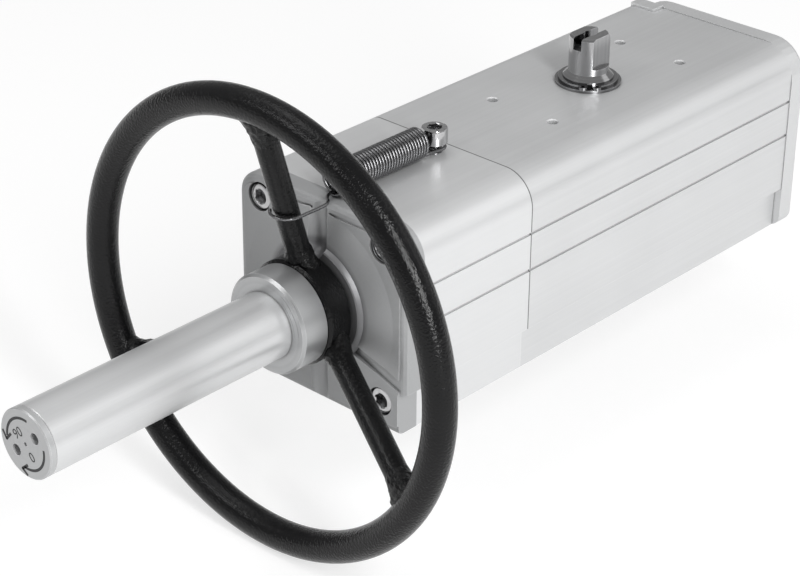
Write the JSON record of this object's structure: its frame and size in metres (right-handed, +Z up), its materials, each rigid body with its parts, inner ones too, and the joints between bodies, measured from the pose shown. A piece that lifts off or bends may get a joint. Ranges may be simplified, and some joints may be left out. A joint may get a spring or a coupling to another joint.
{
  "type": "pneumatic quarter-turn actuator",
  "caption": "Rack and pinion quarter-turn valve actuator with a square aluminium body, slotted shaft top and a black handwheel override",
  "frame": {"origin": "centre of the valve flange face, on the shaft axis", "axes": "+Z up along the shaft, -X along the cylinder to the handwheel, +Y to the air port side"},
  "size_m": [0.3785, 0.18, 0.18],
  "materials": {
    "housing_alu": "extruded, satin anodised",
    "override_alu": "extruded, satin anodised",
    "cover_alu": "die cast, painted silver",
    "inner_alu": "machined",
    "steel": "turned stainless steel",
    "zinc_steel": "zinc plated, polished",
    "spring_wire": "drawn stainless wire",
    "black_paint": "gloss black powder coat",
    "bronze": "machined bronze",
    "seal_rubber": "matt black",
    "bearing_plastic": "natural acetal"
  },
  "bodies": {
    "housing": {"main_housing": "housing_alu", "override_housing": "override_alu", "front_cover": "cover_alu", "rear_cover": "cover_alu", "corner_tab": "housing_alu", "front_cover_screws": "zinc_steel", "rear_cover_screws": "zinc_steel", "bulkhead": "inner_alu", "bulkhead_seal": "seal_rubber", "sleeve_seal": "seal_rubber", "rear_cover_seal": "seal_rubber", "upper_shaft_bush": "bearing_plastic", "lower_shaft_bush": "bearing_plastic", "shaft_washer": "steel", "nut_bush": "bronze", "outer_thrust_washer": "bronze", "inner_thrust_washer": "bronze", "bearing_retainer": "steel", "retainer_screws": "zinc_steel", "lock_screw": "zinc_steel", "lock_spring": "spring_wire"},
    "shaft": {"drive_shaft": "steel", "shaft_seals": "seal_rubber", "shaft_circlip": "steel"},
    "front_piston_set": {"front_piston": "inner_alu", "front_piston_seal": "seal_rubber", "front_guide_ring": "bearing_plastic", "front_rack_pad": "bearing_plastic", "draw_sleeve": "steel", "sleeve_nut": "steel"},
    "rear_piston_set": {"rear_piston": "inner_alu", "rear_piston_seal": "seal_rubber", "rear_guide_ring": "bearing_plastic", "rear_rack_pad": "bearing_plastic"},
    "spindle_set": {"spindle": "steel"},
    "handwheel": {"wheel_rim": "black_paint", "wheel_spokes": "black_paint", "wheel_hub": "black_paint", "drive_nut": "bronze", "hub_key": "steel", "lock_collar": "override_alu", "collar_grub_screw": "steel", "spindle_tube": "steel", "tube_cap": "inner_alu"},
    "hook": {"lock_hook": "spring_wire"}
  },
  "joints": [
    {"name": "handwheel_turn", "type": "hinge", "parent": "housing", "child": "handwheel", "pos_m": [-0.16, 0, 0.042], "axis": [-1, 0, 0], "range_deg": [0, 1920]},
    {"name": "spindle_slide", "type": "slide", "parent": "housing", "child": "spindle_set", "axis": [-1, 0, 0], "range_m": [0, 0.02133]},
    {"name": "front_piston_slide", "type": "slide", "parent": "housing", "child": "front_piston_set", "axis": [-1, 0, 0], "range_m": [0, 0.02133]},
    {"name": "rear_piston_slide", "type": "slide", "parent": "housing", "child": "rear_piston_set", "axis": [1, 0, 0], "range_m": [0, 0.02133]},
    {"name": "shaft_turn", "type": "hinge", "parent": "housing", "child": "shaft", "pos_m": [0, 0, 0.042], "axis": [0, 0, 1], "range_deg": [0, 90.54]},
    {"name": "lock_hook_pull", "type": "slide", "parent": "housing", "child": "hook", "axis": [-1, 0, 0], "range_m": [0, 0.01], "stiffness_N_per_m": 995, "deforming": ["lock_spring", "lock_hook"]}
  ],
  "couplings": [
    {"joint": "spindle_slide", "follows": "handwheel_turn", "m_per_rad": 0.00063662},
    {"joint": "front_piston_slide", "follows": "handwheel_turn", "m_per_rad": 0.00063662},
    {"joint": "rear_piston_slide", "follows": "handwheel_turn", "m_per_rad": 0.00063662},
    {"joint": "shaft_turn", "follows": "handwheel_turn", "ratio": 0.047157}
  ]
}
